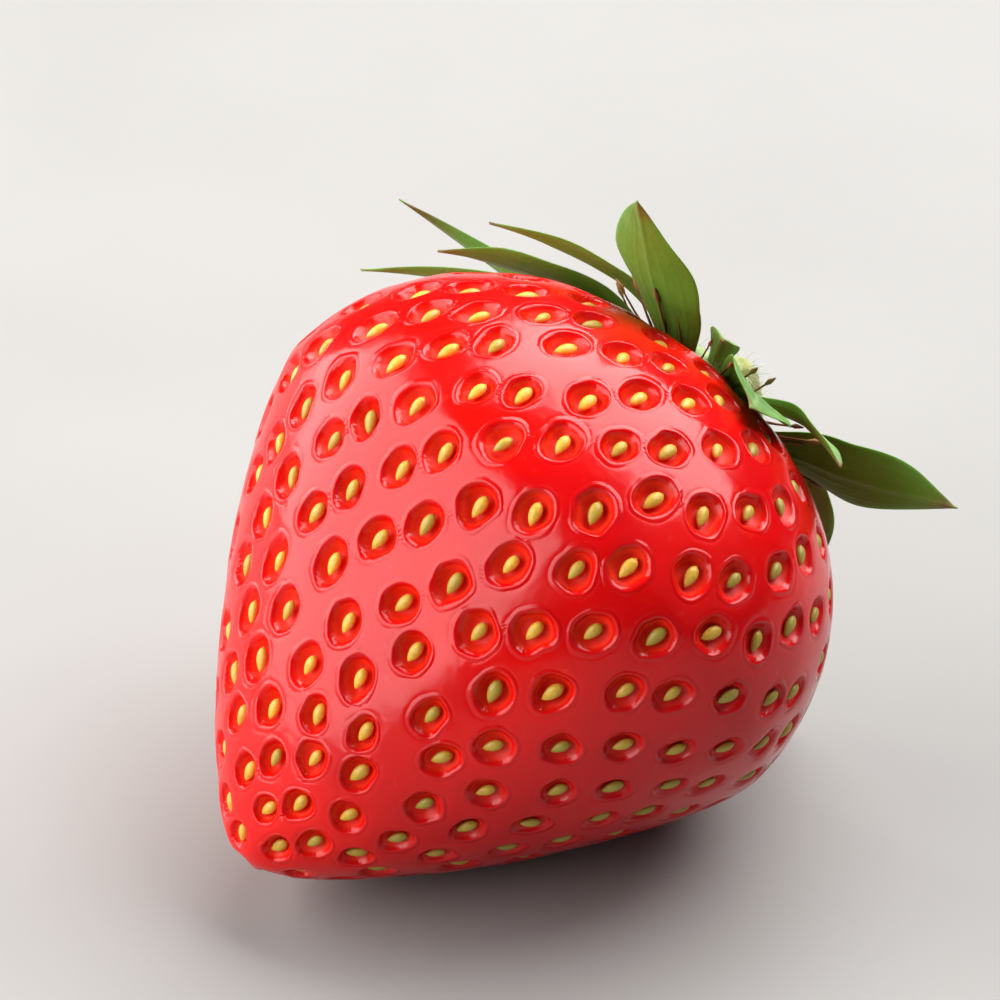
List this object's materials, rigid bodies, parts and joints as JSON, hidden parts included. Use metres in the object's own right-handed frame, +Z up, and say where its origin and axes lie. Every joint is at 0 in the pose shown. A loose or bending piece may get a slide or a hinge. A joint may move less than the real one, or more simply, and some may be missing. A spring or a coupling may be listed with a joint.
{
  "type": "strawberry",
  "caption": "Whole fresh strawberry with calyx and a short cut stalk, lying on its flank as it would rest on a table.",
  "frame": {"origin": "on the surface the berry rests on, below the middle of its bounding box", "axes": "+Z up; the tip points to -Y and the stalk end to +Y; +X is the berry's side, across the core"},
  "size_m": [0.0442, 0.041, 0.0377],
  "materials": {
    "skin": "glossy ripe red skin",
    "sepal": "matte green leaf",
    "bractlet": "matte pale green leaf",
    "collar": "matte pale green, finely hairy",
    "stalk": "matte pale green stalk"
  },
  "bodies": {
    "root": {"fruit": "skin", "calyx_collar": "collar", "sepal_1": "sepal", "sepal_2": "sepal", "sepal_3": "sepal", "sepal_4": "sepal", "sepal_5": "sepal", "sepal_6": "sepal", "bractlet_1": "bractlet", "bractlet_2": "bractlet", "bractlet_3": "bractlet", "bractlet_4": "bractlet", "bractlet_5": "bractlet", "bractlet_6": "bractlet", "stalk": "stalk"}
  },
  "joints": []
}
